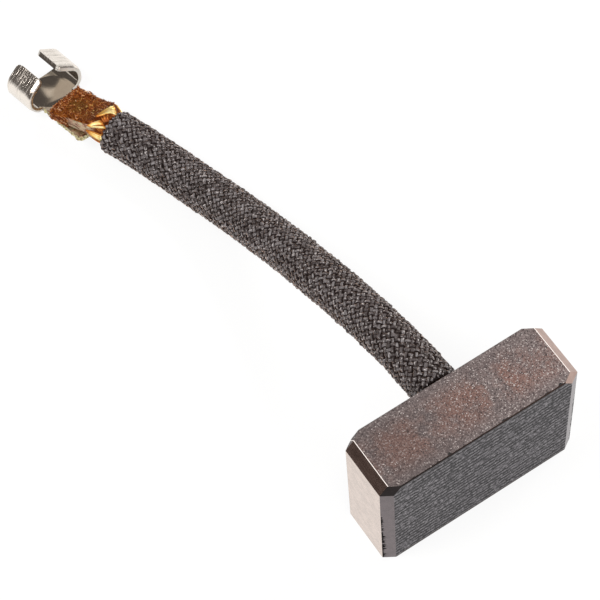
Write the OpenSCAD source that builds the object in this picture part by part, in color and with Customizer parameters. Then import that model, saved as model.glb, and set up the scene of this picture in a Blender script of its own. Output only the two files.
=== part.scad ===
// Carbon brush: a pressed metal-graphite block with a moulded-in copper lead,
// a braided insulating sleeve over the lead, and a folded clip terminal.
// Origin: centre of the contact face. +X runs along the length of that face,
// +Y points out of the back face, where the lead leaves, and +Z points up to the spring face.

/* [Block] */
// Length of the block, along X
block_length = 32; // [26:0.5:50]
// Thickness of the block, along Y
block_thickness = 10; // [9:0.1:16]
// Height of the block, from the contact face to the spring face
block_height = 22.3; // [18:0.1:40]
// Length of the upright corner chamfers, along X
corner_run = 1.6; // [0.4:0.1:3]
// Depth of the upright corner chamfers, along Y
corner_depth = 1; // [0.4:0.1:2]
// Length of the chamfer at each end of the spring face, along X
rim_run = 1.3; // [0.4:0.1:2.5]
// Drop of the chamfer at each end of the spring face
rim_drop = 1.5; // [0.4:0.1:3]
// Width of the rim chamfer that grinding left along the two large faces
ground_rim = 0.15; // [0.05:0.05:0.5]

/* [Copper lead] */
// Depth of the lead's centre line below the spring face
lead_depth = 5; // [4:0.1:8]
// Diameter of the copper braid
core_diameter = 4.9; // [3:0.1:5.4]
// Length of braid moulded into the block
root_length = 7; // [3:0.1:8]
// Thickness of the flattened end
pad_thickness = 1.9; // [1:0.1:3]
// Width of the flattened end
pad_width = 6.6; // [4:0.1:8]
// Bare length between the sleeve and the terminal's tail
bare_length = 2.5; // [2.5:0.1:5]

/* [Sleeve] */
// Outer diameter of the insulating sleeve
sleeve_diameter = 6.8; // [6.6:0.1:9]
// Clearance between the braid and the sleeve, on the radius
sleeve_clearance = 0.25; // [0.15:0.05:0.6]
// Gap between the block and the near end of the sleeve
sleeve_gap = 0.9; // [0:0.1:0.9]

/* [Clip terminal] */
// Thickness of the terminal's sheet
sheet = 0.8; // [0.5:0.05:1.2]
// Width of the clip over its side walls
clip_width = 10.3; // [9:0.1:14]
// Length of the clip, along the lead
clip_length = 5.5; // [3:0.1:8]
// Height at which the side walls start to bend inwards
wall_height = 2.7; // [2.7:0.1:6]
// Length of the left arm, from the end of the bend to the tip
left_arm_length = 2.2; // [1.5:0.1:3]
// Length of the right arm
right_arm_length = 3.1; // [1.5:0.1:3.2]
// Rise of the left arm above level
left_arm_angle = 38; // [25:1:50]
// Rise of the right arm above level
right_arm_angle = 31; // [25:1:50]
// Outer radius of the bend between base and side wall
base_bend = 2.2; // [1.3:0.1:2.6]
// Outer radius of the bend between side wall and arm
arm_bend = 2.5; // [1:0.1:2.6]
// Radius of the arms' corners
tip_radius = 0.7; // [0.2:0.1:1.2]
// Length of the tail under the flattened lead
tail_length = 9.5; // [7:0.1:14]
// Width of the tail
tail_width = 5.8; // [3.5:0.1:6]
// Radius of the tail's end corners
tail_radius = 0.8; // [0.2:0.1:1.5]
// Length of clip base that the flattened lead leaves bare
pad_setback = 2.4; // [1:0.1:5]
// How far the cut end of the lead runs off square, over each millimetre of its width
pad_skew = 0.17; // [0:0.01:0.2]
// Distance from the lead's line to the middle of the tail's end, towards -X
tail_shift = 1.5; // [-1:0.1:2]
// Distance from the middle of the tail to the middle of the lead's flat end, towards -X
pad_shift = 0.2; // [-0.5:0.1:0.5]
// Direction of the terminal, turned from +Y towards -X
terminal_heading = 9.2; // [0:0.1:30]
// Lean of the terminal about its own axis
terminal_roll = 8; // [0:0.5:15]
// Fall of the terminal towards its far end
terminal_pitch = 8.5; // [0:0.5:10]

/* [Hidden] */
$fn = 64;

back_face = block_thickness / 2;
exit_height = block_height - lead_depth;
sleeve_bore = core_diameter + 2 * sleeve_clearance;
// How far the free braid lies below the surface of its moulded root
braid_relief = 0.05;
lie_height = sleeve_diameter / 2;

// Route of the lead's centre line: distance along X, distance out of the back face,
// and share of the drop from the exit to the surface that is still to come.
LEAD_ROUTE = [
    [0, 0, 1], [0, 4, 0.99], [-0.2, 8, 0.96], [-0.45, 12, 0.91],
    [-0.7, 16, 0.84], [-0.95, 20, 0.75], [-1.25, 24, 0.66], [-1.6, 28, 0.56],
    [-1.95, 32, 0.46], [-2.4, 36, 0.36], [-2.95, 40, 0.27], [-3.55, 44, 0.18],
    [-4.3, 48, 0.11], [-5.2, 52, 0.05], [-6.25, 56, 0.01], [-7.45, 60, 0],
    [-8.75, 64, 0], [-10.2, 68, 0], [-11.2, 70.6, 0]
];

route = [for (p = LEAD_ROUTE)
    [p.x, back_face + p.y, lie_height + p.z * (exit_height - lie_height)]];
mouth = route[len(route) - 1];

// Vectors and sweeps
function unit(v) = v / norm(v);
function turned(angle) = [-sin(angle), cos(angle), 0];
function tangent(path, i) =
    unit(path[min(i + 1, len(path) - 1)] - path[max(i - 1, 0)]);
function reversed(list) = [for (i = [len(list) - 1:-1:0]) list[i]];
function flipped(list) = [for (p = list) [-p.x, p.y]];
function arc(centre, radius, from, to, steps) = [for (i = [0:steps])
    let (a = from + (to - from) * i / steps) centre + radius * [cos(a), sin(a)]];

SIDES = 12;

// One round ring across a path
function round_ring(centre, along, radius) =
    let (side = unit(cross(along, [0, 0, 1])), up = cross(side, along))
    [for (k = [0:SIDES - 1]) let (a = 360 * k / SIDES)
        centre + radius * (cos(a) * side + sin(a) * up)];

// Faces between two rings whose first points have the numbers a and b
function band(a, b) = [for (k = [0:SIDES - 1]) let (n = (k + 1) % SIDES)
    [a + k, a + n, b + n, b + k]];

function swept_faces(count) = concat(
    [[for (k = [SIDES - 1:-1:0]) k]],
    [for (i = [0:count - 2]) each band(i * SIDES, (i + 1) * SIDES)],
    [[for (k = [0:SIDES - 1]) (count - 1) * SIDES + k]]);

module swept(rings) {
    polyhedron([for (r = rings) each r], swept_faces(len(rings)), convexity = 4);
}

module block_outline() {
    x = block_length / 2;
    y = block_thickness / 2;
    polygon([
        [-x, corner_depth - y], [corner_run - x, -y],
        [x - corner_run, -y], [x, corner_depth - y],
        [x, y - corner_depth], [x - corner_run, y],
        [corner_run - x, y], [-x, y - corner_depth]
    ]);
}

module block_side_view() {
    x = block_length / 2;
    polygon([
        [-x, 0], [x, 0], [x, block_height - rim_drop], [x - rim_run, block_height],
        [rim_run - x, block_height], [-x, block_height - rim_drop]
    ]);
}

// Large faces, with the trace of the rim chamfer that grinding left
module block_end_view() {
    y = block_thickness / 2;
    polygon([
        [-y, 0], [y, 0], [y, block_height - ground_rim], [y - ground_rim, block_height],
        [ground_rim - y, block_height], [-y, block_height - ground_rim]
    ]);
}

// The rim chamfer carried round one upright corner
module corner_facet_cut() {
    edge = [corner_run, -corner_depth, 0];
    slope = [rim_run, 0, rim_drop];
    out = unit(cross(edge, slope));
    reach = 2 * (corner_run + corner_depth + rim_drop);
    translate([-block_length / 2, corner_depth - block_thickness / 2, block_height - rim_drop])
        rotate([0, acos(out.z), atan2(out.y, out.x)])
            translate([-reach / 2, -reach / 2, 0]) cube(reach);
}

module carbon_block() {
    color([0.36, 0.32, 0.31])
    difference() {
        intersection() {
            linear_extrude(block_height) block_outline();
            rotate([90, 0, 0])
                linear_extrude(block_thickness, center = true) block_side_view();
            rotate([90, 0, 90])
                linear_extrude(block_length, center = true) block_end_view();
        }
        for (mx = [0, 1], my = [0, 1])
            mirror([mx, 0, 0]) mirror([0, my, 0]) corner_facet_cut();
        translate([0, back_face - root_length, exit_height])
            rotate([-90, 0, 0]) cylinder(h = root_length + 1, d = core_diameter);
    }
}

// Terminal frame: +Y along the terminal, away from the block, +Z out of its base.
// Its origin is the middle of the base's near edge.
terminal_level = [cos(terminal_heading), sin(terminal_heading), 0];
terminal_along = [-sin(terminal_heading) * cos(terminal_pitch),
    cos(terminal_heading) * cos(terminal_pitch), -sin(terminal_pitch)];
terminal_square = cross(terminal_level, terminal_along);
terminal_side = cos(terminal_roll) * terminal_level - sin(terminal_roll) * terminal_square;
terminal_up = sin(terminal_roll) * terminal_level + cos(terminal_roll) * terminal_square;

// Height at which the far end of the clip just touches the surface
terminal_height = clip_length * sin(terminal_pitch) + cos(terminal_pitch)
    * ((clip_width / 2 - base_bend) * sin(terminal_roll) + base_bend * (1 - cos(terminal_roll)));
lead_end = unit(mouth - route[len(route) - 2]);
tail_end = mouth + bare_length * lead_end + tail_shift * cross([0, 0, 1], lead_end);
terminal_origin = [
    tail_end.x + tail_length * terminal_along.x,
    tail_end.y + tail_length * terminal_along.y,
    terminal_height
];

function terminal_point(p) = terminal_origin
    + p.x * terminal_side + p.y * terminal_along + p.z * terminal_up;

module in_terminal_frame() {
    translate(terminal_origin)
        rotate([-terminal_pitch, 0, terminal_heading]) rotate([0, terminal_roll, 0]) children();
}

// Half of the clip's section: outer line from the middle of the base to the tip
function half_line(inset, arm_angle, arm_length) = concat(
    [[0, inset]],
    arc([clip_width / 2 - base_bend, base_bend], base_bend - inset, -90, 0, 7),
    arc([clip_width / 2 - arm_bend, wall_height], arm_bend - inset, 0, 90 - arm_angle, 6),
    [arm_tip(inset, arm_angle, arm_length)]);

function arm_tip(inset, arm_angle, arm_length) =
    [clip_width / 2 - arm_bend, wall_height]
    + (arm_bend - inset) * [sin(arm_angle), cos(arm_angle)]
    + arm_length * [-cos(arm_angle), sin(arm_angle)];

module clip_section() {
    outer = half_line(0, right_arm_angle, right_arm_length);
    inner = half_line(sheet, right_arm_angle, right_arm_length);
    left_outer = half_line(0, left_arm_angle, left_arm_length);
    left_inner = half_line(sheet, left_arm_angle, left_arm_length);
    polygon(concat(outer, reversed(inner), flipped(left_inner), reversed(flipped(left_outer))));
}

// What rounds one corner of an arm, at the tip and the near end of the clip
module tip_corner_cut(arm_angle, arm_length) {
    tip = arm_tip(0, arm_angle, arm_length);
    translate([tip.x, 0, tip.y]) rotate([0, arm_angle, 0])
        translate([0, 0, -sheet - 1]) linear_extrude(sheet + 2)
            difference() {
                translate([-1, -1]) square(tip_radius + 1);
                translate([tip_radius, tip_radius]) circle(tip_radius);
            }
}

module tail_outline() {
    x = tail_width / 2;
    r = tail_radius;
    polygon(concat(
        [[x, clip_length / 2], [-x, clip_length / 2]],
        arc([r - x, r - tail_length], r, 180, 270, 5),
        arc([x - r, r - tail_length], r, 270, 360, 5)));
}

module clip_terminal() {
    color([0.75, 0.72, 0.68])
    in_terminal_frame() {
        difference() {
            translate([0, clip_length, 0]) rotate([90, 0, 0])
                linear_extrude(clip_length) clip_section();
            for (side = [0, 1], end = [0, 1])
                mirror([side, 0, 0]) translate([0, end * clip_length, 0])
                    mirror([0, end, 0])
                        tip_corner_cut([right_arm_angle, left_arm_angle][side],
                            [right_arm_length, left_arm_length][side]);
        }
        linear_extrude(sheet) tail_outline();
    }
}

// The lead's flat end, on the tail: its middle runs straight from the sleeve's mouth
mouth_side = (mouth - terminal_origin) * terminal_side;
mouth_along = (mouth - terminal_origin) * terminal_along;
function pad_middle(y) = -pad_shift
    + (mouth_side + pad_shift) * (y + pad_setback) / (mouth_along + pad_setback);

// Ring of the lead on the terminal, squared off and lying on the tail
function flat_ring(y, width, thickness, squareness, skew = 0) = [for (k = [0:SIDES - 1])
    let (a = 360 * k / SIDES,
         x = max(-1, min(1, squareness * cos(a))) * width / 2,
         z = max(-1, min(1, squareness * sin(a))) * thickness / 2)
    terminal_point([pad_middle(y) + x, y + skew * x, sheet + thickness / 2 + z])];

module copper_lead() {
    start = route[0] - [0, root_length / 2, 0];
    path = concat([start], route);
    braid = [for (i = [0:len(path) - 1])
        round_ring(path[i], tangent(path, i), core_diameter / 2 - braid_relief)];
    pad = [
        flat_ring(-tail_length - bare_length / 2, 0.92 * pad_width, 1.7 * pad_thickness, 1.05),
        flat_ring(-tail_length - 0.1, pad_width, 1.4 * pad_thickness, 1.15),
        flat_ring(-0.8 * tail_length, pad_width, 1.1 * pad_thickness, 1.25),
        flat_ring(-0.6 * tail_length, pad_width, pad_thickness, 1.3),
        flat_ring(-pad_setback, pad_width, pad_thickness, 1.3, pad_skew)
    ];
    color([0.62, 0.34, 0.16]) {
        translate([0, back_face - root_length, exit_height])
            rotate([-90, 0, 0]) cylinder(h = root_length, d = core_diameter);
        swept(concat(braid, pad));
    }
}

module insulating_sleeve() {
    start = route[0] + [0, sleeve_gap, 0];
    path = concat([start], [for (i = [1:len(route) - 1]) route[i]]);
    outer = [for (i = [0:len(path) - 1])
        round_ring(path[i], tangent(path, i), sleeve_diameter / 2)];
    inner = [for (i = [0:len(path) - 1])
        round_ring(path[i], tangent(path, i), sleeve_bore / 2)];
    n = len(path);
    shift = n * SIDES;
    faces = concat(
        [for (i = [0:n - 2]) each band(i * SIDES, (i + 1) * SIDES)],
        [for (i = [0:n - 2]) each band(shift + (i + 1) * SIDES, shift + i * SIDES)],
        band(shift, 0),
        band((n - 1) * SIDES, shift + (n - 1) * SIDES));
    color([0.2, 0.18, 0.18])
        polyhedron(concat([for (r = outer) each r], [for (r = inner) each r]),
            faces, convexity = 6);
}

carbon_block();
copper_lead();
insulating_sleeve();
clip_terminal();
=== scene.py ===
import math
import random

import bpy
import numpy as np
from mathutils import Matrix, Vector, noise


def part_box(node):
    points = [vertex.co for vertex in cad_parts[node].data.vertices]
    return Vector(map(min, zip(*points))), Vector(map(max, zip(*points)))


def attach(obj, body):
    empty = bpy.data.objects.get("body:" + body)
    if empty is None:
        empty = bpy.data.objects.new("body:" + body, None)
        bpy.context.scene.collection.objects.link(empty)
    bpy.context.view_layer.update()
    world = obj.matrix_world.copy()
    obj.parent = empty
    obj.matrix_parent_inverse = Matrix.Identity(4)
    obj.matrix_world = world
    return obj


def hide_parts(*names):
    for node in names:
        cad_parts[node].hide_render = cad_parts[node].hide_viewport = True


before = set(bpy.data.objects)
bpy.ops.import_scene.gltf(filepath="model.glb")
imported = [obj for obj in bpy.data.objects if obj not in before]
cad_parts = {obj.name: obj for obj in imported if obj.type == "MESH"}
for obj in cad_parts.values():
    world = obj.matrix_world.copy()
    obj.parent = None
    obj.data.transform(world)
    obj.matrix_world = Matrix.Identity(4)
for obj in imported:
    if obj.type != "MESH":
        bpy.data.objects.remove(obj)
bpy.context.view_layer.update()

MM = 0.001
random.seed(7)
np.random.seed(7)

# ---------------------------------------------------------------- sizes, in millimetres
# The lead's route, as in the part's source: X, distance out of the back face, share of the drop left.
LEAD_ROUTE = [
    (0, 0, 1), (0, 4, 0.99), (-0.2, 8, 0.96), (-0.45, 12, 0.91),
    (-0.7, 16, 0.84), (-0.95, 20, 0.75), (-1.25, 24, 0.66), (-1.6, 28, 0.56),
    (-1.95, 32, 0.46), (-2.4, 36, 0.36), (-2.95, 40, 0.27), (-3.55, 44, 0.18),
    (-4.3, 48, 0.11), (-5.2, 52, 0.05), (-6.25, 56, 0.01), (-7.45, 60, 0),
    (-8.75, 64, 0), (-10.2, 68, 0), (-11.2, 70.6, 0),
]
BLOCK_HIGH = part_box("carbon_block")[1] / MM
BACK_FACE = BLOCK_HIGH.y
EXIT_HEIGHT = BLOCK_HIGH.z - 5
SLEEVE_RADIUS = 3.4
SLEEVE_GAP = 0.9
CORE_RADIUS = 2.45
SHEET = 0.8
CLIP_WIDTH = 10.3
CLIP_LENGTH = 5.5
WALL_HEIGHT = 2.7
BASE_BEND = 2.2
ARM_BEND = 2.5
LEFT_ARM = (2.2, math.radians(38))
RIGHT_ARM = (3.1, math.radians(31))
TIP_RADIUS = 0.7
BARE_LENGTH = 2.5
TAIL_LENGTH = 9.5
TAIL_WIDTH = 5.8
TAIL_RADIUS = 0.8
TAIL_SHIFT = 1.5
PAD_SETBACK = 2.4
PAD_SKEW = 0.17
PAD_SHIFT = 0.2
RIM_RUN = 1.3
HEADING, ROLL, PITCH = (math.radians(a) for a in (9.2, 8, 8.5))

ROUTE = [Vector((x, BACK_FACE + out, SLEEVE_RADIUS + share * (EXIT_HEIGHT - SLEEVE_RADIUS)))
         for x, out, share in LEAD_ROUTE]
MOUTH = ROUTE[-1]

# The terminal's own frame, as in the part's source
LEVEL = Vector((math.cos(HEADING), math.sin(HEADING), 0))
ALONG = Vector((-math.sin(HEADING) * math.cos(PITCH), math.cos(HEADING) * math.cos(PITCH),
                -math.sin(PITCH)))
SQUARE = LEVEL.cross(ALONG)
SIDE = math.cos(ROLL) * LEVEL - math.sin(ROLL) * SQUARE
UP = math.sin(ROLL) * LEVEL + math.cos(ROLL) * SQUARE
LIFT = CLIP_LENGTH * math.sin(PITCH) + math.cos(PITCH) * (
    (CLIP_WIDTH / 2 - BASE_BEND) * math.sin(ROLL) + BASE_BEND * (1 - math.cos(ROLL)))
LEAD_END = (MOUTH - ROUTE[-2]).normalized()
TAIL_END = MOUTH + BARE_LENGTH * LEAD_END + TAIL_SHIFT * Vector((0, 0, 1)).cross(LEAD_END)
TERMINAL = Vector((TAIL_END.x + TAIL_LENGTH * ALONG.x, TAIL_END.y + TAIL_LENGTH * ALONG.y, LIFT))


def on_terminal(x, y, z):
    """A point of the terminal's own frame, in the row's frame, both in millimetres."""
    return TERMINAL + float(x) * SIDE + float(y) * ALONG + float(z) * UP


FROM_TERMINAL = MOUTH - TERMINAL
MOUTH_LOCAL = Vector((FROM_TERMINAL.dot(SIDE), FROM_TERMINAL.dot(ALONG), FROM_TERMINAL.dot(UP)))


# ---------------------------------------------------------------- camera, light and floor
def make_camera():
    at = Vector((-80.0, -107.9, 297.2)) * MM
    target = Vector((-3.1, 36.5, 0)) * MM
    data = bpy.data.cameras.new("camera")
    data.sensor_width = 36
    data.lens = 138.3
    data.clip_start = 0.01
    data.clip_end = 20
    camera = bpy.data.objects.new("camera", data)
    turn = (target - at).to_track_quat("-Z", "Y").to_matrix() @ Matrix.Rotation(math.radians(-5.98), 3, "Z")
    camera.matrix_world = Matrix.Translation(at) @ turn.to_4x4()
    bpy.context.scene.collection.objects.link(camera)
    bpy.context.scene.camera = camera


def softbox(name, towards, distance, size, strength, colour=(1, 1, 1)):
    """A square area lamp in the direction towards, aimed at the middle of the lead."""
    centre = Vector((-0.003, 0.035, 0.005))
    data = bpy.data.lights.new(name, "AREA")
    data.shape = "SQUARE"
    data.size = size
    data.energy = strength
    data.color = colour
    lamp = bpy.data.objects.new(name, data)
    lamp.location = centre + Vector(towards).normalized() * distance
    lamp.rotation_mode = "QUATERNION"
    lamp.rotation_quaternion = (centre - lamp.location).to_track_quat("-Z", "Y")
    bpy.context.scene.collection.objects.link(lamp)


class Tree:
    """A material's or world's node tree, with one short call per node."""

    def __init__(self, owner):
        owner.use_nodes = True
        self.tree = owner.node_tree
        self.tree.nodes.clear()

    def node(self, kind, inputs=(), **settings):
        made = self.tree.nodes.new(kind)
        for name, value in settings.items():
            setattr(made, name, value)
        for name, value in dict(inputs).items():
            if isinstance(value, bpy.types.NodeSocket):
                self.tree.links.new(value, made.inputs[name])
            else:
                made.inputs[name].default_value = value
        return made

    def maths(self, operation, a, b=0.0, c=0.0):
        return self.node("ShaderNodeMath", {0: a, 1: b, 2: c}, operation=operation).outputs[0]

    def vector(self, operation, a, b=(0, 0, 0)):
        made = self.node("ShaderNodeVectorMath", {0: a, 1: b}, operation=operation)
        return made.outputs["Value" if operation in ("DOT_PRODUCT", "LENGTH") else "Vector"]

    def scaled(self, vector, x, y, z):
        return self.vector("MULTIPLY", vector, (x, y, z))

    def millimetres(self):
        """The place on the piece, in millimetres."""
        place = self.node("ShaderNodeTexCoord").outputs["Object"]
        return self.scaled(place, 1 / MM, 1 / MM, 1 / MM)

    def attribute(self, name):
        return self.node("ShaderNodeAttribute", attribute_name=name).outputs["Fac"]

    def flat(self):
        return self.node("ShaderNodeUVMap", uv_map="flat").outputs[0]

    def parts(self, vector):
        split = self.node("ShaderNodeSeparateXYZ", {"Vector": vector})
        return split.outputs["X"], split.outputs["Y"], split.outputs["Z"]

    def noise(self, vector, scale, detail=2.0, roughness=0.5, distortion=0.0):
        return self.node("ShaderNodeTexNoise", {
            "Vector": vector, "Scale": scale, "Detail": detail, "Roughness": roughness,
            "Distortion": distortion}).outputs["Fac"]

    def lots(self, vector, scale):
        """Two random values, the same over each small cell."""
        colour = self.node("ShaderNodeTexVoronoi", {"Vector": vector, "Scale": scale}).outputs["Color"]
        split = self.node("ShaderNodeSeparateColor", {"Color": colour})
        return split.outputs[0], split.outputs[1]

    def ramp(self, factor, stops):
        made = self.node("ShaderNodeValToRGB", {"Fac": factor})
        points = made.color_ramp.elements
        while len(points) < len(stops):
            points.new(0.5)
        for point, (place, colour) in zip(points, stops):
            point.position = place
            point.color = (*colour, 1)
        return made.outputs["Color"]

    def mix(self, factor, a, b):
        made = self.node("ShaderNodeMix", data_type="RGBA")
        for socket, value in ((made.inputs[0], factor), (made.inputs[6], a), (made.inputs[7], b)):
            if isinstance(value, bpy.types.NodeSocket):
                self.tree.links.new(value, socket)
            elif isinstance(value, (int, float)):
                socket.default_value = value
            else:
                socket.default_value = (*value, 1)
        return made.outputs[2]

    def between(self, value, low, high):
        """0 below low, 1 above high, smooth in between."""
        return self.node("ShaderNodeMapRange", {"Value": value, "From Min": low, "From Max": high},
                         interpolation_type="SMOOTHSTEP").outputs["Result"]

    def bump(self, height, distance, strength):
        inputs = {"Height": height, "Distance": distance, "Strength": strength}
        return self.node("ShaderNodeBump", inputs).outputs["Normal"]

    def finish(self, inputs):
        shader = self.node("ShaderNodeBsdfPrincipled", inputs)
        self.node("ShaderNodeOutputMaterial", {"Surface": shader.outputs["BSDF"]})


def make_floor():
    bpy.ops.mesh.primitive_plane_add(size=6, location=(0, 0, -0.00002))
    floor = bpy.context.object
    floor.name = "floor"
    material = bpy.data.materials.new("floor")
    t = Tree(material)
    path = t.node("ShaderNodeLightPath")
    seen = t.maths("MAXIMUM", path.outputs["Is Camera Ray"], path.outputs["Is Glossy Ray"])
    seen = t.maths("MAXIMUM", seen, path.outputs["Is Transmission Ray"])
    matt = t.node("ShaderNodeBsdfDiffuse", {"Color": (0.94, 0.94, 0.94, 1)})
    white = t.node("ShaderNodeEmission", {"Color": (1, 1, 1, 1), "Strength": 1.0})
    share = t.maths("MULTIPLY", seen, 0.85)
    mixed = t.node("ShaderNodeMixShader", {0: share, 1: matt.outputs[0], 2: white.outputs[0]})
    t.node("ShaderNodeOutputMaterial", {"Surface": mixed.outputs[0]})
    floor.data.materials.append(material)


def make_world():
    world = bpy.data.worlds.new("studio")
    bpy.context.scene.world = world
    t = Tree(world)
    path = t.node("ShaderNodeLightPath")
    strength = t.mix(path.outputs["Is Glossy Ray"], (0.40, 0.40, 0.40), (0.11, 0.10, 0.095))
    strength = t.mix(path.outputs["Is Camera Ray"], strength, (1, 1, 1))
    background = t.node("ShaderNodeBackground", {"Color": strength, "Strength": 1.0})
    t.node("ShaderNodeOutputWorld", {"Surface": background.outputs[0]})


def light_scene():
    bpy.context.scene.view_settings.view_transform = "Standard"
    softbox("key", (-0.48, 0.16, 0.86), 0.60, 0.22, 1.7, (1, 0.98, 0.96))
    softbox("front", (-0.25, -0.62, 0.74), 0.60, 0.36, 1.5, (1, 0.98, 0.96))
    softbox("side", (0.74, -0.04, 0.67), 0.60, 0.24, 1.9, (1, 0.98, 0.95))
    softbox("back", (0.275, 0.834, 0.478), 0.60, 0.10, 0.022, (1, 0.93, 0.82))


# ---------------------------------------------------------------- meshes
def point_values(mesh, name, values):
    layer = mesh.attributes.new(name, "FLOAT", "POINT")
    layer.data.foreach_set("value", np.asarray(values, np.float32))


def new_piece(name, points, faces, material, uvs=None, shade=None):
    """A smooth mesh piece from points in millimetres. uvs and shade hold one entry per point."""
    mesh = bpy.data.meshes.new(name)
    mesh.from_pydata((np.asarray(points, float) * MM).tolist(), [], faces)
    mesh.update()
    if uvs is not None:
        layer = mesh.uv_layers.new(name="flat")
        index = np.zeros(len(mesh.loops), np.int32)
        mesh.loops.foreach_get("vertex_index", index)
        layer.data.foreach_set("uv", np.asarray(uvs, np.float32)[index].ravel())
    if shade is not None:
        point_values(mesh, "shade", shade)
    mesh.polygons.foreach_set("use_smooth", [True] * len(mesh.polygons))
    mesh.materials.append(material)
    piece = bpy.data.objects.new(name, mesh)
    bpy.context.scene.collection.objects.link(piece)
    return piece


def grid_faces(rows, columns, closed, first=0):
    """Quads of a grid of points, row by row. closed joins the last column to the first."""
    across = columns if closed else columns - 1
    return [(first + i * columns + j, first + i * columns + (j + 1) % columns,
             first + (i + 1) * columns + (j + 1) % columns, first + (i + 1) * columns + j)
            for i in range(rows - 1) for j in range(across)]


def smooth_line(points, step):
    """Points step apart along a smooth curve through the given points."""
    fine = []
    padded = [2 * points[0] - points[1], *points, 2 * points[-1] - points[-2]]
    for a, b, c, d in zip(padded, padded[1:], padded[2:], padded[3:]):
        for k in range(40):
            s = k / 40
            fine.append(0.5 * (2 * b + (c - a) * s + (2 * a - 5 * b + 4 * c - d) * s * s
                               + (3 * b - a - 3 * c + d) * s ** 3))
    fine.append(points[-1])
    fine = np.array([list(p) for p in fine])
    gone = np.concatenate([[0], np.cumsum(np.linalg.norm(np.diff(fine, axis=0), axis=1))])
    wanted = np.linspace(0, gone[-1], max(2, round(gone[-1] / step) + 1))
    return np.stack([np.interp(wanted, gone, fine[:, k]) for k in range(3)], 1), wanted


def frames_along(line):
    """For each point of a line, the unit vectors along it, to its side and upwards."""
    along = np.gradient(line, axis=0)
    along /= np.linalg.norm(along, axis=1, keepdims=True)
    side = np.cross(along, [0, 0, 1])
    side /= np.linalg.norm(side, axis=1, keepdims=True)
    return along, side, np.cross(side, along)


def sleeve_line(step):
    """The sleeve's centre line, from its end near the block to its mouth."""
    start = Vector((0, BACK_FACE + SLEEVE_GAP, EXIT_HEIGHT))
    return smooth_line([start, *ROUTE[1:]], step)


# ---------------------------------------------------------------- the insulating sleeve
CARRIERS = 22
LAY_SPACING = 2 * math.pi * SLEEVE_RADIUS / CARRIERS
BRAID_RADIUS = 3.15
BRAID_WAVE = 0.13
YARN_PROFILE = [(-1, -0.7), (-0.85, 0.1), (-0.6, 0.72), (-0.3, 0.98), (0, 0.82),
                (0.3, 0.98), (0.6, 0.72), (0.85, 0.1), (1, -0.7)]
YARN_HALF_WIDTH = 0.32
YARN_HEIGHT = 0.20
LINER_OUTER = 3.0
LINER_INNER = 2.72


def braid_yarns(name, lay, material):
    """Half of the plait: the carriers that all turn the same way, lay being 1 or -1."""
    line, gone = sleeve_line(LAY_SPACING / 6)
    along, side, up = frames_along(line)
    length = gone[-1]
    flare = 0.14 * np.clip(1 - gone / 9, 0, 1) ** 1.5 + 0.05 * np.clip(1 - (length - gone) / 3, 0, 1)
    tuck = 0.22 * np.clip(1 - (length - gone) / 0.5, 0, 1) ** 2 + 0.2 * np.clip(1 - gone / 0.4, 0, 1) ** 2
    points, faces, uvs, shade, over = [], [], [], [], []
    columns = len(YARN_PROFILE)
    for k in range(CARRIERS):
        wobble = np.random.normal(0, 1, (3, len(gone) // 3 + 2))
        rough = [np.interp(np.arange(len(gone)), np.arange(wobble.shape[1]) * 3, w) for w in wobble]
        angle = 2 * math.pi * k / CARRIERS + lay * gone / SLEEVE_RADIUS + 0.034 * rough[0]
        wave = lay * np.cos(2 * math.pi * gone / LAY_SPACING)
        radius = BRAID_RADIUS + BRAID_WAVE * wave + 0.05 * rough[1] + flare - tuck
        round_ = np.cos(angle)[:, None] * side + np.sin(angle)[:, None] * up
        across = -np.sin(angle)[:, None] * side + np.cos(angle)[:, None] * up
        run = along + lay * across
        run /= np.linalg.norm(run, axis=1, keepdims=True)
        width = np.cross(run, round_)
        width /= np.linalg.norm(width, axis=1, keepdims=True)
        half = YARN_HALF_WIDTH * (1 + 0.08 * wave + 0.16 * rough[2])
        rows = []
        for place, height in YARN_PROFILE:
            rows.append(line + (radius + YARN_HEIGHT * height)[:, None] * round_
                        + (place * half)[:, None] * width)
        block = np.stack(rows, 1).reshape(-1, 3)
        faces += grid_faces(len(gone), columns, False, len(points) * len(gone) * columns)
        points.append(block)
        uvs.append(np.stack([np.tile([p for p, _ in YARN_PROFILE], len(gone)),
                             np.repeat(gone * math.sqrt(2), columns) + 3.7 * k], 1))
        pick = np.floor(gone / LAY_SPACING + (0.5 if lay > 0 else 0.0)).astype(int)
        lot = np.random.uniform(0, 1, pick.max() + 1)[pick]
        shade.append(np.repeat(lot, columns))
        over.append(np.repeat(0.5 + 0.5 * wave, columns))
    points = np.concatenate(points)
    points[:, 2] = np.maximum(points[:, 2], 0.02)
    piece = new_piece(name, points, faces, material, np.concatenate(uvs), np.concatenate(shade))
    point_values(piece.data, "over", np.concatenate(over))
    return piece


def sleeve_liner(material):
    """The plain inner layer that the plait lies on, open at both ends."""
    line, gone = sleeve_line(0.7)
    _, side, up = frames_along(line)
    points, turns = [], 36
    outer = LINER_OUTER + 0.12 * np.clip(1 - gone / 9, 0, 1) ** 1.5
    walls = [(outer, line), (np.full(len(gone), LINER_INNER), line[::-1])]
    for k, (radius, centres) in enumerate(walls):
        s, u = (side, up) if k == 0 else (side[::-1], up[::-1])
        for i in range(len(centres)):
            for j in range(turns):
                a = 2 * math.pi * j / turns
                points.append(centres[i] + radius[i] * (math.cos(a) * s[i] + math.sin(a) * u[i]))
    rows = 2 * len(line)
    faces = grid_faces(rows, turns, True)
    faces += [((rows - 1) * turns + j, (rows - 1) * turns + (j + 1) % turns, (j + 1) % turns, j)
              for j in range(turns)]
    return new_piece("sleeve_liner", points, faces, material)


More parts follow.
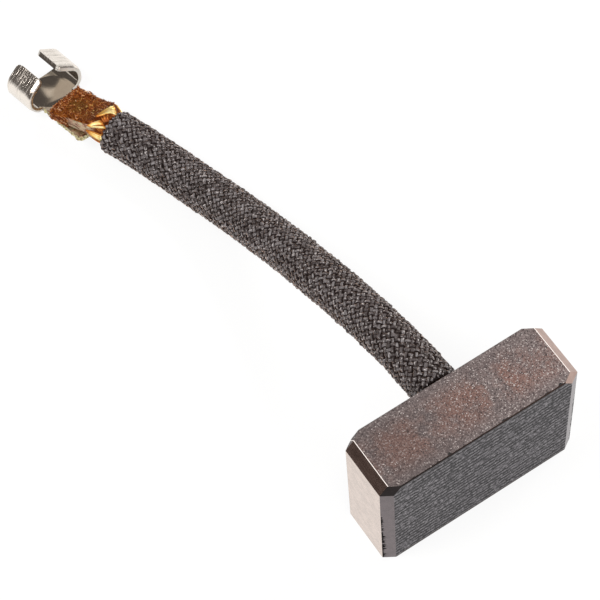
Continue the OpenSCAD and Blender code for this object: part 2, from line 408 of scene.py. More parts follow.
def braid_material():
    """Black yarn of fine filaments: each pick has its own tone. Painted shade darkens the gaps between yarns
    and the pick ends that dive under the crossing yarn, and painted glints light small spots.
    """
    material = bpy.data.materials.new("sleeve_braid")
    t = Tree(material)
    uv = t.flat()
    high = t.attribute("over")
    lot = t.attribute("shade")
    filaments = t.noise(t.scaled(uv, 3.2, 0.5, 1.0), 1.0, 2.0, 0.5)
    tone = t.maths("MULTIPLY_ADD", filaments, 0.6, t.maths("MULTIPLY", lot, 0.32))
    colour = t.ramp(tone, [(0.20, (0.018, 0.011, 0.010)), (0.42, (0.072, 0.058, 0.057)),
                           (0.58, (0.14, 0.124, 0.126)), (0.72, (0.28, 0.262, 0.266))])
    # Painted glints: small bright spots painted into the yarn colour for light caught by the filaments
    glints = t.between(t.noise(t.scaled(uv, 2.6, 1.8, 1.0), 1.0, 1.0), 0.60, 0.68)
    colour = t.mix(t.maths("MULTIPLY", glints, 0.85), colour, (0.62, 0.57, 0.56))
    # Painted shade: the colour goes nearly black towards each yarn's edges and where a pick dives under the
    # crossing yarn
    across = t.maths("ABSOLUTE", t.parts(uv)[0])
    unshaded_across = t.between(across, 0.80, 0.30)
    lit = t.maths("MULTIPLY", t.between(high, 0.25, 0.70), unshaded_across)
    colour = t.mix(lit, (0.010, 0.004, 0.003), colour)
    shine = t.maths("MULTIPLY_ADD", filaments, 0.1, t.maths("MULTIPLY_ADD", lot, -0.22, 0.28))
    roughness = t.maths("MAXIMUM", shine, t.maths("MULTIPLY_ADD", lit, -0.9, 1.0))
    normal = t.bump(filaments, 0.00012, 1.0)
    t.finish({"Base Color": colour, "Roughness": roughness, "Normal": normal, "IOR": 1.42,
              "Sheen Weight": 0.75, "Sheen Roughness": 0.22, "Sheen Tint": (0.90, 0.60, 0.45, 1)})
    return material


def liner_material():
    material = bpy.data.materials.new("sleeve_liner")
    t = Tree(material)
    place = t.node("ShaderNodeTexCoord").outputs["Object"]
    grain = t.noise(place, 3000, 3.0, 0.6)
    colour = t.ramp(grain, [(0.3, (0.012, 0.009, 0.009)), (0.7, (0.035, 0.028, 0.027))])
    t.finish({"Base Color": colour, "Roughness": 0.7, "Normal": t.bump(grain, 0.00005, 0.6)})
    return material


def make_sleeve():
    braid = braid_material()
    liner = sleeve_liner(liner_material())
    halves = [braid_yarns("sleeve_braid_right", 1, braid), braid_yarns("sleeve_braid_left", -1, braid)]
    for piece in (liner, *halves):
        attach(piece, "root")
    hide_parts("insulating_sleeve")
    return liner, halves


# ---------------------------------------------------------------- the copper lead
LEAD_START = -13.4
# The bare lead along the terminal: place, half width, bottom and top
LEAD_STATIONS = [
    (LEAD_START, 2.42, -1.92, 2.93), (-11.7, 2.50, -1.78, 3.18), (-10.8, 2.85, -1.0, 3.62),
    (-9.7, 3.2, 0.5, 3.45), (-8.9, 3.28, 0.82, 3.2), (-7.6, 3.3, 0.82, 2.9), (-5.7, 3.3, 0.82, 2.7),
    (-PAD_SETBACK, 3.3, 0.82, 2.6),
]


def within(value):
    """The value, held between 0 and 1."""
    return min(1, max(0, value))


def skewed(y, x):
    """How far the skew of the cut end moves a point that lies x off the lead's middle."""
    return PAD_SKEW * x * within((y + 6) / 3.6)


def lead_section(y):
    """Middle, half width, bottom and top of the bare lead at y along the terminal."""
    share = (y + PAD_SETBACK) / (MOUTH_LOCAL.y + PAD_SETBACK)
    middle = -PAD_SHIFT + (MOUTH_LOCAL.x + PAD_SHIFT) * share
    places, halves, lows, highs = zip(*LEAD_STATIONS)
    half, low, high = (float(np.interp(y, places, sizes)) for sizes in (halves, lows, highs))
    return middle, half, low, high


def on_lead(y, angle, lift=0.0):
    """The point of the lead's surface at y and at the angle from its right flank, lift above it."""
    middle, half, low, high = lead_section(y)
    flat = within((y - MOUTH_LOCAL.y) / 3.5)
    power = 1 - 0.62 * flat
    c, v = math.cos(angle), math.sin(angle)
    x = math.copysign(abs(c) ** power, c) * (half + lift)
    z = math.copysign(abs(v) ** (power if v > 0 else power * 0.8), v) * ((high - low) / 2 + lift)
    return Vector((middle + x, y + skewed(y, x), (low + high) / 2 + z))


def lead_body(material):
    """The compacted end of the braid: one body, round at the mouth and flat on the tail."""
    rows, turns = 110, 128
    points, uvs, shade = [], [], []
    for i in range(rows + 1):
        y = LEAD_START + (-LEAD_START - PAD_SETBACK) * i / rows
        for j in range(turns):
            angle = 2 * math.pi * j / turns
            place = on_lead(y, angle)
            rim = within((-PAD_SETBACK - y) / 1.5)
            crush = noise.noise(place * 2.2) * 0.05
            crush += noise.noise(place * 6.5) * (0.035 + 0.03 * (1 - rim))
            place += Vector((math.cos(angle), 0, math.sin(angle))) * crush
            if i == rows:
                place.y += 0.25 * noise.noise(Vector((place.x * 3, place.z * 3, 0)))
            points.append(on_terminal(*place))
            uvs.append((place.x, place.y))
            flank = 1 if math.pi * 0.80 < angle < math.pi * 1.25 else 0
            shade.append(flank * within((-5.2 - y) / 1.2) * within(y + 11.0))
    faces = grid_faces(rows + 1, turns, True)
    faces.append(tuple(range(turns))[::-1])
    faces.append(tuple(rows * turns + j for j in range(turns)))
    return new_piece("lead_end", points, faces, material, uvs, shade)


def wires(name, lines, radii, material, shades, sides):
    """Many thin round wires, each along its own line of points in the row's frame."""
    points, faces, shade = [], [], []
    for n, line in enumerate(lines):
        line = np.array([list(p) for p in line])
        _, side, up = frames_along(line)
        first = len(points)
        for i in range(len(line)):
            for j in range(sides):
                a = 2 * math.pi * j / sides
                points.append(line[i] + radii[n] * (math.cos(a) * side[i] + math.sin(a) * up[i]))
                shade.append(shades[n][i])
        faces += grid_faces(len(line), sides, True, first)
        faces.append(tuple(first + j for j in range(sides))[::-1])
        faces.append(tuple(first + (len(line) - 1) * sides + j for j in range(sides)))
    return new_piece(name, points, faces, material, None, shade)


STRAND_RADIUS = 0.062
# Strands that fan out towards the mouth. Each starts at an angle round the lead (degrees) and a place
# along it, and its wires end between two such points. Then how proud it stands, its wires and its shine, a
# painted brightness for the light it catches.
STRANDS = [
    ((28, -8.5), (20, -11.4), (31, -11.6), 0.10, 8, 1.0),
    ((101, -9.7), (48, -9.7), (62, -11.8), 0.26, 26, 1.0),
    ((152, -9.9), (112, -10.8), (128, -12.2), 0.24, 24, 1.0),
    ((180, -9.8), (153, -12.5), (188, -12.7), 0.12, 20, 0.9),
    ((70, -8.9), (104, -11.8), (118, -11.5), 0.06, 14, 0.25),
    ((118, -9.1), (140, -12.2), (156, -12.0), 0.05, 14, 0.25),
    ((40, -8.7), (72, -11.8), (86, -11.6), 0.05, 14, 0.22),
    ((12, -9.0), (38, -11.6), (50, -11.5), 0.05, 12, 0.3),
    ((205, -9.9), (198, -12.8), (215, -12.8), 0.06, 12, 0.35),
]


def strand_bundles(material):
    """Strands of parallel wires that arch over the lead, fan out and dive at both ends. Their colour carries
    painted light, brightest on the arch and darker towards the ends.
    """
    lines, shades = [], []
    for (angle0, y0), (angle1, y1), (angle2, y2), proud, count, shine in STRANDS:
        for n in range(count):
            share = (n + 0.5) / count
            end_angle = angle1 + (angle2 - angle1) * share
            end_y = y1 + (y2 - y1) * share
            start_y = y0 + 0.35 * (0.5 - share) * (1 if y1 > y2 else -1)
            start_angle = angle0 + 4 * (share - 0.5)
            bow = random.uniform(-3.5, 3.5)
            raised = random.uniform(-0.07, 0.05)
            # The shine scales each wire's random tone: painted light
            tone = random.choice((0.45, 0.7, 0.9, 1.0, 1.0)) * shine
            line, shade = [], []
            for k in range(13):
                part = k / 12
                angle = start_angle + (end_angle - start_angle) * part + bow * math.sin(math.pi * part)
                y = start_y + (end_y - start_y) * part
                crown = 1 - 0.5 * (2 * share - 1) ** 2
                arch = math.sin(math.pi * min(1, 0.12 + 0.8 * part)) ** 0.7
                lift = proud * arch * crown - 0.05 + raised
                line.append(on_terminal(*on_lead(y, math.radians(angle), lift)))
                # Painted light along each wire: brightest where it arches up, painted shade towards the ends
                # where it dives into the lead
                shade.append(tone * min(1, 0.25 + 1.6 * part) * min(1, 3.2 * (1.06 - part)))
            lines.append(line)
            shades.append(shade)
    return wires("lead_strands", lines, [STRAND_RADIUS] * len(lines), material, shades, 6)


CUT_END_BITS = 300
TOP_BITS = 560
FLANK_BITS = 170


def wire_bits(material):
    """Short wires that stick out of the cut end and lie crushed on the flat end."""
    lines, radii, shades = [], [], []

    def bit(x, y, z, length, turn, rise, bow):
        pieces = 6
        line = []
        for k in range(pieces):
            s = k / (pieces - 1) - 0.5
            line.append(on_terminal(x + s * length * math.sin(turn) + bow * (0.25 - s * s) * math.cos(turn),
                                    y + s * length * math.cos(turn) - bow * (0.25 - s * s) * math.sin(turn),
                                    z + rise * s))
        lines.append(line)
        radii.append(random.uniform(0.035, 0.06))
        shades.append([random.random() ** 1.5] * pieces)

    middle, half, low, high = lead_section(-PAD_SETBACK)
    for _ in range(CUT_END_BITS):
        x = random.uniform(-half, half)
        z = random.uniform(low + 0.1, high)
        bit(middle + x, -PAD_SETBACK + PAD_SKEW * x + random.uniform(-0.2, 0.12), z,
            random.uniform(0.25, 0.7), random.gauss(0, 0.5), random.uniform(-0.1, 0.35),
            random.uniform(-0.1, 0.1))
    for _ in range(TOP_BITS):
        y = -PAD_SETBACK - random.random() ** 1.7 * 7.0
        middle, half, low, high = lead_section(y)
        x = middle + random.uniform(-0.93, 0.93) * half
        calm = 1 - math.exp(-((y + 5.6) / 1.6) ** 2 - ((x - middle) / 2.4) ** 2)
        if random.random() > 0.1 + 0.9 * calm:
            continue
        y += skewed(y, x - middle)
        z = high + 0.01 - 0.3 * max(0, abs(x - middle) / half - 0.75)
        bit(x, y, z, random.uniform(0.15, 0.55), random.gauss(0, 0.9), 0.0, random.uniform(-0.35, 0.35))
    for _ in range(FLANK_BITS):
        y = -PAD_SETBACK - random.random() * 3.4
        middle, half, low, high = lead_section(y)
        flank = random.choice((-1, -1, -1, 1))
        z = random.uniform(low + 0.1, high - 0.15)
        bit(middle + flank * (half + 0.01), y + flank * PAD_SKEW * half, z,
            random.uniform(0.3, 0.9), random.gauss(0, 0.25), random.uniform(-0.2, 0.2),
            random.uniform(-0.1, 0.1))
    return wires("lead_wire_tips", lines, radii, material, shades, 5)


def lead_root(material):
    """The round braid between the block and the sleeve, and a little way inside it."""
    lines, shades = [], []
    bundles, steps, sunk, reach = 28, 16, 0.3, 3.2
    for k in range(bundles):
        for lay in (1, -1):
            line = []
            for i in range(steps):
                out = -sunk + reach * i / (steps - 1)
                a = 2 * math.pi * k / bundles + lay * out * 0.42
                radius = CORE_RADIUS - 0.09 + 0.06 * lay * math.cos(2 * math.pi * i / 5 + k)
                line.append(Vector((radius * math.cos(a), BACK_FACE + out,
                                    EXIT_HEIGHT + radius * math.sin(a))))
            lines.append(line)
            shades.append([random.uniform(0.1, 0.5)] * steps)
    return wires("lead_root", lines, [0.09] * len(lines), material, shades, 5)


def copper_body_material():
    """Compacted copper wires: brown, olive in the middle, with crushed bright strands and gold specks."""
    material = bpy.data.materials.new("copper_compacted")
    t = Tree(material)
    uv = t.flat()
    place = t.millimetres()
    flank = t.attribute("shade")
    patches = t.noise(uv, 0.8, 3.0, 0.6)
    strands = t.noise(place, 4.5, 4.0, 0.7, 1.5)
    colour = t.ramp(patches, [(0.3, (0.19, 0.042, 0.008)), (0.5, (0.33, 0.090, 0.016)),
                              (0.75, (0.40, 0.14, 0.026))])
    colour = t.mix(t.between(strands, 0.53, 0.63), colour, (0.95, 0.40, 0.11))
    colour = t.mix(t.between(strands, 0.46, 0.38), colour, (0.045, 0.011, 0.005))
    middle = t.vector("LENGTH", t.vector("SUBTRACT", t.scaled(uv, 1, 0.8, 0), (0.2, -4.2, 0)))
    olive = t.maths("MULTIPLY", t.between(middle, 2.0, 0.6), 0.5)
    colour = t.mix(olive, colour, (0.20, 0.11, 0.025))
    gold_place = t.vector("LENGTH", t.vector("SUBTRACT", t.scaled(uv, 1, 1, 0), (1.2, -7.2, 0)))
    rarity = t.node("ShaderNodeMapRange", {
        "Value": gold_place, "From Min": 0.4, "From Max": 2.4, "To Min": 0.88, "To Max": 0.99})
    gold = t.maths("GREATER_THAN", t.lots(place, 5.5)[0], rarity.outputs["Result"])
    colour = t.mix(gold, colour, (0.95, 0.66, 0.22))
    red = t.between(t.parts(uv)[1], -8.6, -10.2)
    colour = t.mix(t.maths("MULTIPLY", red, 0.8), colour, (0.16, 0.035, 0.012))
    drawn = t.noise(t.scaled(place, 2.2, 0.5, 4.0), 1.0, 3.0, 0.6)
    tinned = t.ramp(drawn, [(0.36, (0.16, 0.06, 0.03)), (0.48, (0.62, 0.38, 0.27)),
                            (0.60, (0.66, 0.62, 0.42))])
    colour = t.mix(flank, colour, tinned)
    roughness = t.maths("MULTIPLY_ADD", strands, 0.4, 0.18)
    normal = t.bump(strands, 0.00015, 0.9)
    t.finish({"Base Color": colour, "Metallic": 1.0, "Roughness": roughness, "Normal": normal})
    return material


def copper_wire_material(name, stops, metallic, roughness):
    """Loose wires: each has its own tone, with streaks along it. On the fanned strands that tone also carries
    painted light and shade.
    """
    material = bpy.data.materials.new(name)
    t = Tree(material)
    place = t.node("ShaderNodeTexCoord").outputs["Object"]
    streak = t.noise(place, 2500, 2.0)
    tone = t.maths("MULTIPLY_ADD", t.maths("SUBTRACT", streak, 0.5), 0.35, t.attribute("shade"))
    t.finish({"Base Color": t.ramp(tone, stops), "Metallic": metallic, "Roughness": roughness})
    return material


def make_lead():
    strand_stops = [(0.05, (0.20, 0.045, 0.012)), (0.35, (0.75, 0.27, 0.05)),
                    (0.60, (1.0, 0.66, 0.17)), (0.85, (1.0, 0.90, 0.48))]
    bit_stops = [(0.0, (0.18, 0.040, 0.012)), (0.5, (0.52, 0.16, 0.05)),
                 (0.85, (0.92, 0.44, 0.17)), (1.0, (1.0, 0.78, 0.52))]
    body = lead_body(copper_body_material())
    strands = strand_bundles(copper_wire_material("copper_strands", strand_stops, 0.8, 0.36))
    bit_material = copper_wire_material("copper_wire_tips", bit_stops, 1.0, 0.3)
    bits = wire_bits(bit_material)
    root = lead_root(bit_material)
    for piece in (body, strands, bits, root):
        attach(piece, "root")
    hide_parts("copper_lead")
    return [body, strands, bits, root]


# ---------------------------------------------------------------- the clip terminal
# Distance round the section from the left arm's tip to the middle of the base
MID_BASE = (LEFT_ARM[0] + (math.pi / 2 - LEFT_ARM[1]) * ARM_BEND + WALL_HEIGHT - BASE_BEND
            + math.pi / 2 * BASE_BEND + CLIP_WIDTH / 2 - BASE_BEND)
# Where a rounded corner gets its points, as shares of its radius left to go
CORNER_STEPS = (0.75, 0.5, 0.28, 0.12, 0.03, 0)


def nickel_material():
    """Plated sheet: streaks run round the bends outside, fine grain inside. uv is round and along."""
    material = bpy.data.materials.new("nickel_plate")
    t = Tree(material)
    uv = t.flat()
    outside = t.attribute("shade")
    place = t.millimetres()
    streaks = t.noise(t.scaled(uv, 0.13, 2.6, 1), 1.0, 3.0, 0.6)
    fine = t.noise(t.scaled(uv, 0.4, 9.0, 1), 1.0, 3.0, 0.6)
    grain = t.noise(place, 6.0, 3.0, 0.6)
    colour = t.mix(t.noise(place, 0.7, 3.0), (0.56, 0.49, 0.42), (0.66, 0.60, 0.52))
    colour = t.mix(outside, colour, (0.87, 0.80, 0.72))
    turned, along, _ = t.parts(uv)
    aside = t.maths("SUBTRACT", turned, MID_BASE)
    ahead = t.maths("SUBTRACT", along, 2.0)
    spread = t.maths("ADD", t.maths("MULTIPLY", aside, aside), t.maths("MULTIPLY", ahead, ahead))
    hollow = t.maths("MULTIPLY_ADD", t.maths("MINIMUM", spread, 12.0), 0.7, t.maths("MULTIPLY", grain, 0.08))
    ridges = t.maths("MULTIPLY_ADD", streaks, 0.9, t.maths("MULTIPLY", fine, 0.3))
    height = t.mix(outside, hollow, ridges)
    depth = t.maths("MULTIPLY_ADD", outside, 0.7, 0.3)
    bumped = t.bump(height, 0.00008, depth)
    burnished = t.maths("MULTIPLY", t.between(streaks, 0.54, 0.62), 0.25)
    rough = t.mix(outside, t.maths("MULTIPLY_ADD", grain, 0.08, 0.09), t.maths("ADD", burnished, 0.17))
    t.finish({"Base Color": colour, "Metallic": 1.0, "Roughness": rough, "Normal": bumped})
    return material


def sheared_material():
    """The cut edges of the sheet, where brown and pale brass show under the plating."""
    material = bpy.data.materials.new("sheared_brass")
    t = Tree(material)
    place = t.millimetres()
    kind = t.attribute("wear")
    tears = t.noise(place, 3.0, 4.0, 0.7)
    brown = t.ramp(tears, [(0.35, (0.09, 0.040, 0.018)), (0.55, (0.30, 0.17, 0.075)),
                           (0.7, (0.55, 0.42, 0.26))])
    pale = t.ramp(tears, [(0.38, (0.12, 0.09, 0.045)), (0.48, (0.62, 0.52, 0.26)),
                          (0.65, (0.95, 0.90, 0.62))])
    colour = t.mix(t.between(kind, 0.16, 0.26), (0.80, 0.76, 0.70), brown)
    colour = t.mix(t.between(kind, 0.6, 0.9), colour, pale)
    t.finish({"Base Color": colour, "Metallic": 0.9, "Roughness": 0.42, "Normal": t.bump(tears, 0.0003, 0.8)})
    return material


def half_section(inset, arm):
    """Half of the clip's section, as in the part's source: X and Z from the middle of the base to the tip."""
    length, rise = arm
    line = [(x, inset) for x in np.linspace(0, CLIP_WIDTH / 2 - BASE_BEND, 8)[:-1]]
    for angle in np.linspace(-math.pi / 2, 0, 12):
        line.append((CLIP_WIDTH / 2 - BASE_BEND + (BASE_BEND - inset) * math.cos(angle),
                     BASE_BEND + (BASE_BEND - inset) * math.sin(angle)))
    for angle in np.linspace(0, math.pi / 2 - rise, 12):
        line.append((CLIP_WIDTH / 2 - ARM_BEND + (ARM_BEND - inset) * math.cos(angle),
                     WALL_HEIGHT + (ARM_BEND - inset) * math.sin(angle)))
    root = line[-1]
    straight = np.linspace(0, length - TIP_RADIUS, 6)[1:]
    for out in (*straight, *(length - TIP_RADIUS * k for k in CORNER_STEPS)):
        line.append((root[0] - out * math.cos(rise), root[1] + out * math.sin(rise)))
    return line


def clip_piece(materials):
    """The folded sheet: a grid round its section and along it, with the tail as part of the same grid."""
    outer = [(-x, z) for x, z in half_section(0, LEFT_ARM)][:0:-1] + half_section(0, RIGHT_ARM)
    inner = [(-x, z) for x, z in half_section(SHEET, LEFT_ARM)][:0:-1] + half_section(SHEET, RIGHT_ARM)
    gone = [0.0]
    for a, b in zip(outer, outer[1:]):
        gone.append(gone[-1] + math.dist(a, b))
    rows = [0, 0.15, 0.4, 0.7, 0.78, 1.2, 1.7, 2.2, 2.8, 3.4, 4.0, 4.5, 4.9, 5.2, 5.4, 5.5]
    tail_rows = list(-np.linspace(0.25, TAIL_LENGTH - TAIL_RADIUS, 60)) + [
        -TAIL_LENGTH + TAIL_RADIUS * k for k in CORNER_STEPS]
    all_rows = [*tail_rows[::-1], *rows]
    start = len(tail_rows)
    half = TAIL_WIDTH / 2
    on_tail = [j for j, (x, z) in enumerate(outer) if abs(x) < CLIP_WIDTH / 2 - BASE_BEND + 0.01 and z < 0.01]
    points, uvs, shade, wear = [], [], [], []

    def corner(left, radius):
        return radius - math.sqrt(max(0, radius ** 2 - (radius - left) ** 2)) if left < radius else 0.0

    def add(i, j, below):
        x, z = (outer if below else inner)[j]
        y = all_rows[i]
        if i < start:
            edge = x / (CLIP_WIDTH / 2 - BASE_BEND)
            torn = 0.0
            if edge < -0.99:
                torn = 0.16 * noise.noise(Vector((y * 2.6, 3.1 if below else 1.7, 0.4)))
                torn += 0.10 * noise.noise(Vector((y * 7.0, 5.0 if below else 2.0, 0.9)))
            x = edge * (half - corner(y + TAIL_LENGTH, TAIL_RADIUS) + torn)
            z += abs(torn) * 0.7 * (0 if below else 1)
        else:
            tip = corner(min(gone[j], gone[-1] - gone[j]), TIP_RADIUS)
            y = tip + (CLIP_LENGTH - 2 * tip) * y / CLIP_LENGTH
            rolled = 0.24 * max(0, 0.55 - y) / 0.55
            wall = min(1, max(0, (abs(x) - 3.6) / 1.0)) if z < 2 else 1
            if below:
                mid = inner[j]
                x += (mid[0] - x) * rolled * wall
                z += (mid[1] - z) * rolled * wall
        if abs(x) < CLIP_WIDTH / 2 - BASE_BEND and z < 1:
            dish = min(1, max(0, (y + 2.2) / 2.0))
            z -= 0.16 * (1 - (x / (CLIP_WIDTH / 2 - BASE_BEND)) ** 2) * dish
        points.append(on_terminal(x, y, z))
        uvs.append((gone[j], y))
        shade.append(1.0 if below else 0.0)
        wear.append(1.0 if i < start else 0.0 if below else 0.5 * min(1, max(0, 0.5 - x / 3)))
        return len(points) - 1

    index = {}
    cells = [(i, j) for i in range(len(all_rows) - 1) for j in range(len(outer) - 1)
             if i >= start or (j in on_tail and j + 1 in on_tail)]
    for i, j in cells:
        for a, b in ((i, j), (i, j + 1), (i + 1, j), (i + 1, j + 1)):
            for below in (True, False):
                if (a, b, below) not in index:
                    index[a, b, below] = add(a, b, below)
    faces, kinds, edges = [], [], {}
    for i, j in cells:
        ring = [(i, j), (i, j + 1), (i + 1, j + 1), (i + 1, j)]
        faces.append(tuple(index[a, b, False] for a, b in ring))
        faces.append(tuple(index[a, b, True] for a, b in ring[::-1]))
        kinds += [0, 0]
        for a, b in zip(ring, ring[1:] + ring[:1]):
            edges[b, a] = edges.get((b, a), 0)
            edges[a, b] = 1
            if edges[b, a]:
                edges[a, b] = edges[b, a] = 2
    for (a, b), count in edges.items():
        if count == 1:
            faces.append((index[a[0], a[1], True], index[b[0], b[1], True],
                          index[b[0], b[1], False], index[a[0], a[1], False]))
            kinds.append(0 if a[1] == b[1] and a[0] >= start else 1)
    piece = new_piece("clip_sheet", points, faces, materials[0], uvs, shade)
    point_values(piece.data, "wear", wear)
    piece.data.materials.append(materials[1])
    piece.data.polygons.foreach_set("material_index", kinds)
    edge = piece.modifiers.new("bevel", "BEVEL")
    edge.width = 0.11 * MM
    edge.segments = 3
    edge.limit_method = "ANGLE"
    edge.angle_limit = math.radians(50)
    edge.material = 0
    edge.harden_normals = False
    return piece


def refine(node, bevel, segments, limit=40):
    """Softens a CAD node's edges with a bevel after welding its split points; its own points stay as they
    are.
    """
    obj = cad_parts[node]
    weld = obj.modifiers.new("weld", "WELD")
    weld.merge_threshold = 0.000002
    edge = obj.modifiers.new("bevel", "BEVEL")
    edge.width = bevel * MM
    edge.segments = segments
    edge.limit_method = "ANGLE"
    edge.angle_limit = math.radians(limit)
    edge.harden_normals = True
    return obj


def make_terminal():
    terminal = clip_piece([nickel_material(), sheared_material()])
    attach(terminal, "root")
    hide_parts("clip_terminal")
    return terminal


# ---------------------------------------------------------------- the block
# Distance between the fine cut lines on the broad faces
CUT_SPACING = 0.92
# The block's finishes, by their place in its list of materials
PRESSED, MILLED, ENDS, STRIPS, RIMS, CORNERS = range(6)


def near(t, value, target, reach):
    """1 where value is within reach of target, 0 further off."""
    return t.maths("LESS_THAN", t.maths("ABSOLUTE", t.maths("SUBTRACT", value, target)), reach)


def block_places(t):
    """The place on the block in millimetres: the whole vector, then X, Y and Z."""
    place = t.millimetres()
    return place, *t.parts(place)


def dark_rim(t, place, y, z):
    """The broken black line along the upper front edge, thicker in a few spots."""
    ragged = t.noise(t.scaled(place, 1.0, 0.2, 0.2), 1.3, 4.0, 0.7)
    blobs = t.between(t.noise(t.scaled(place, 1.0, 0, 0), 0.45, 2.0), 0.56, 0.72)
    width = t.maths("MULTIPLY_ADD", ragged, 0.80, t.maths("MULTIPLY_ADD", blobs, 0.35, -0.24))
    inward = t.maths("ADD", BACK_FACE, y)
    down = t.maths("SUBTRACT", BLOCK_HIGH.z, z)
    gone = t.maths("MAXIMUM", inward, down)
    return t.maths("LESS_THAN", gone, width)


def pressed_material():
    """The pressed upper and lower faces: mottled, with copper showing through and fine sparkles. Painted
    light darkens the left end, and a painted highlight runs along the inner edge of each end chamfer.
    """
    material = bpy.data.materials.new("metal_graphite_pressed")
    t = Tree(material)
    place, x, y, z = block_places(t)
    bands = t.noise(t.scaled(place, 1.0, 0.45, 1), 0.16, 3.0, 0.6)
    cloud = t.noise(place, 0.5, 4.0, 0.65)
    grain = t.noise(place, 4.5, 4.0, 0.75)
    centre = t.maths("SUBTRACT", 1.0, t.between(t.maths("ABSOLUTE", y), 1.5, 4.6))
    patches = t.maths("ADD", bands, t.maths("MULTIPLY", cloud, 0.5))
    red = t.maths("MULTIPLY", t.between(patches, 0.64, 0.86), centre)
    colour = t.ramp(cloud, [(0.35, (0.118, 0.088, 0.086)), (0.65, (0.178, 0.140, 0.136))])
    colour = t.mix(t.maths("MULTIPLY", red, 0.8), colour, (0.215, 0.100, 0.074))
    # A painted gradient of light, 0 at the left end and 1 at the right: the face is painted darker towards
    # its left end, and sparkles and pits come thicker towards the right, where light glows on it
    painted_glow_ramp = t.between(x, -14.0, 15.0)
    colour = t.mix(t.maths("MULTIPLY_ADD", painted_glow_ramp, -0.44, 0.46), colour, (0.03, 0.022, 0.022))
    colour = t.mix(t.between(grain, 0.47, 0.36), colour, (0.040, 0.026, 0.026))
    colour = t.mix(t.between(grain, 0.53, 0.64), colour, (0.24, 0.20, 0.19))
    bright, deep = t.lots(place, 8.0)
    glint = t.maths("GREATER_THAN", bright, t.maths("MULTIPLY_ADD", painted_glow_ramp, -0.07, 0.985))
    pit = t.maths("GREATER_THAN", deep, t.maths("MULTIPLY_ADD", painted_glow_ramp, -0.08, 0.95))
    colour = t.mix(glint, colour, (0.40, 0.35, 0.335))
    colour = t.mix(t.maths("MULTIPLY", pit, 0.8), colour, (0.020, 0.012, 0.012))
    # Painted highlight: a thin near-white line along the inner edge of each end chamfer, where the worn edge
    # catches the light
    painted_edge_highlight = near(t, t.maths("ABSOLUTE", x), BLOCK_HIGH.x - RIM_RUN - 0.04, 0.06)
    colour = t.mix(painted_edge_highlight, colour, (0.85, 0.78, 0.74))
    colour = t.mix(dark_rim(t, place, y, z), colour, (0.010, 0.008, 0.008))
    t.finish({"Base Color": colour, "Roughness": 0.62, "IOR": 1.5, "Metallic": 0.1,
              "Normal": t.bump(grain, 0.00005, 0.7)})
    return material


def milled_material():
    """The broad front and back faces: gray, with fine broken lines parallel to the long edges."""
    material = bpy.data.materials.new("metal_graphite_milled")
    t = Tree(material)
    place, _, y, z = block_places(t)
    drift = t.noise(t.scaled(place, 0.3, 0.3, 0.4), 1.0, 2.0)
    turns = t.maths("MULTIPLY_ADD", z, 2 * math.pi / CUT_SPACING, t.maths("MULTIPLY", drift, 3.0))
    cuts = t.between(t.maths("SINE", turns), -0.05, 0.55)
    breaks = t.between(t.noise(t.scaled(place, 0.55, 0.55, 1.2), 1.0, 1.0), 0.34, 0.46)
    lines = t.maths("MULTIPLY", cuts, breaks)
    speckle = t.noise(t.scaled(place, 2.0, 2.0, 2.2), 1.0, 1.0, 0.7)
    colour = t.ramp(speckle, [(0.34, (0.022, 0.020, 0.022)), (0.50, (0.104, 0.096, 0.105)),
                              (0.66, (0.22, 0.208, 0.22))])
    colour = t.mix(t.maths("MULTIPLY", lines, 0.95), colour, (0.006, 0.005, 0.005))
    foot = t.between(t.maths("ADD", z, t.maths("MULTIPLY", t.noise(place, 0.8), 0.9)), 1.15, 0.6)
    colour = t.mix(foot, colour, (0.085, 0.070, 0.066))
    crown = t.between(t.maths("SUBTRACT", BLOCK_HIGH.z, z), 0.9, 0.3)
    colour = t.mix(t.maths("MULTIPLY", crown, 0.5), colour, (0.060, 0.054, 0.056))
    colour = t.mix(dark_rim(t, place, y, z), colour, (0.010, 0.008, 0.008))
    t.finish({"Base Color": colour, "Roughness": 0.6, "IOR": 1.35, "Normal": t.bump(lines, 0.00008, 0.6)})
    return material


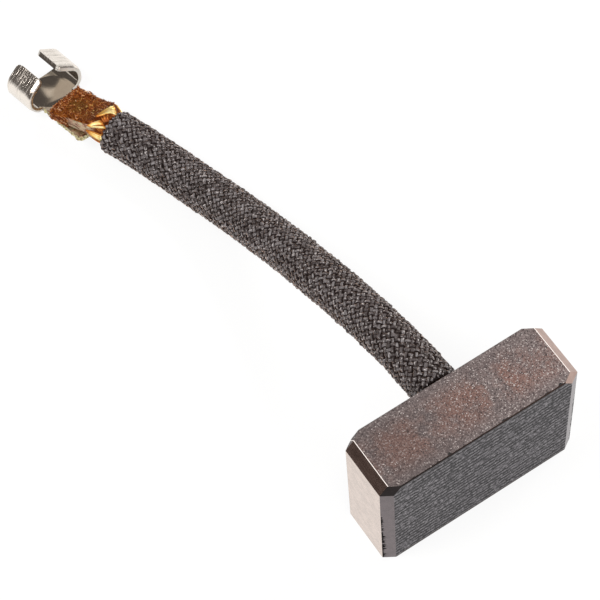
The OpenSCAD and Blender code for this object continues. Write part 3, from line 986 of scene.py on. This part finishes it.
def ground_material(name, base, ior, roughness, metal=0.0):
    """The smooth ground faces, which shine at a low angle: the two ends, or the edges taken off."""
    material = bpy.data.materials.new(name)
    t = Tree(material)
    place, x, _, z = block_places(t)
    scratches = t.noise(t.scaled(place, 0.5, 0.5, 3.5), 1.0, 4.0, 0.65, 0.3)
    cloud = t.noise(place, 0.9, 3.0, 0.6)
    colour = t.mix(t.between(cloud, 0.35, 0.65), tuple(0.92 * c for c in base), tuple(1.08 * c for c in base))
    colour = t.mix(t.between(scratches, 0.66, 0.76), colour, tuple(0.6 * c for c in base))
    ragged = t.noise(t.scaled(place, 0.3, 0.3, 1.0), 2.2, 4.0, 0.7)
    low = t.between(z, 17.0, 11.0)
    width = t.maths("MULTIPLY", t.maths("MULTIPLY_ADD", ragged, 2.2, -0.85), low)
    outward = t.maths("ABSOLUTE", x)
    edge = t.maths("LESS_THAN", t.maths("SUBTRACT", BLOCK_HIGH.x, outward), width)
    nicks = t.maths("MULTIPLY", edge, t.maths("LESS_THAN", outward, BLOCK_HIGH.x - 0.01))
    colour = t.mix(nicks, colour, (0.008, 0.006, 0.006))
    rough = t.maths("MAXIMUM", t.maths("MULTIPLY_ADD", scratches, 0.15, roughness), nicks)
    t.finish({"Base Color": colour, "Roughness": rough, "IOR": ior, "Metallic": metal,
              "Normal": t.bump(scratches, 0.00002, 0.25)})
    return material


def make_block():
    """Each face of the block gets its own finish by the way it faces; on the ends and the front-left corner
    facets the base colour also carries painted light and shade.
    """
    block = refine("carbon_block", 0.12, 2, 20)
    block.data.materials.clear()
    for material in (pressed_material(), milled_material(),
                     # The ends' base colour is lighter than the other ground faces': partly a burnished
                     # finish, partly painted light for the bright glare they show at a low angle
                     ground_material("metal_graphite_ends", (0.62, 0.50, 0.43), 2.0, 0.16, 0.85),
                     ground_material("metal_graphite_strips", (0.135, 0.108, 0.112), 1.8, 0.2, 1.0),
                     ground_material("metal_graphite_rims", (0.43, 0.30, 0.255), 1.6, 0.08, 1.0),
                     # The front-left corner facets get a near-black base colour: painted shade
                     ground_material("metal_graphite_corners", (0.014, 0.010, 0.010), 1.25, 0.4)):
        block.data.materials.append(material)
    square, tilted = 0.95, 0.3
    for face in block.data.polygons:
        axis = [abs(c) for c in face.normal]
        back_corner = face.normal.y > tilted and axis[2] > tilted
        if axis[2] > square or back_corner:
            face.material_index = PRESSED
        elif axis[1] > square:
            face.material_index = MILLED
        elif axis[0] > square:
            face.material_index = ENDS
        elif axis[2] < tilted:
            face.material_index = STRIPS
        elif axis[1] < tilted or face.center.x > 0:
            face.material_index = RIMS
        else:
            face.material_index = CORNERS


# ---------------------------------------------------------------- put together
make_camera()
make_world()
light_scene()
make_floor()
sleeve, plait = make_sleeve()
terminal = make_terminal()
lead = make_lead()
route_line, route_gone = sleeve_line(2.0)
make_block()
